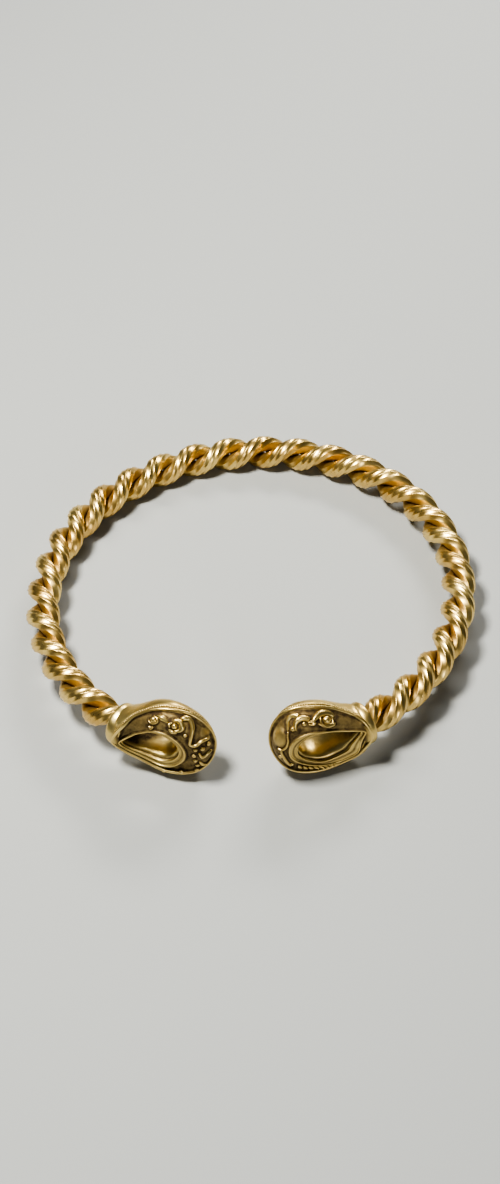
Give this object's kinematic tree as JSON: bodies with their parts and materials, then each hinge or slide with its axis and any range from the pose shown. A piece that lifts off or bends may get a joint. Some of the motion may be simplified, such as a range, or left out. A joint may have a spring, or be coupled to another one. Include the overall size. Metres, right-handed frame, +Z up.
{
  "type": "ancient torc neck ring",
  "caption": "Celtic gold torc: a penannular neck ring of two twisted rods with cast loop terminals carrying scrolls, bosses and corded rims.",
  "frame": {"origin": "centre of the bounding box at the resting plane, under the middle of the hoop", "axes": "+Z up as it lies on a surface, the opening between the terminals faces -Y, +X to the right seen from the opening"},
  "size_m": [0.1864, 0.1824, 0.0343],
  "materials": {
    "rod_a": "worn antique gold",
    "rod_b": "worn antique gold",
    "left_terminal": "worn antique gold with darker recesses",
    "right_terminal": "worn antique gold with darker recesses"
  },
  "bodies": {
    "root": {"rod_a": "rod_a", "rod_b": "rod_b", "left_terminal": "left_terminal", "right_terminal": "right_terminal"}
  },
  "joints": []
}
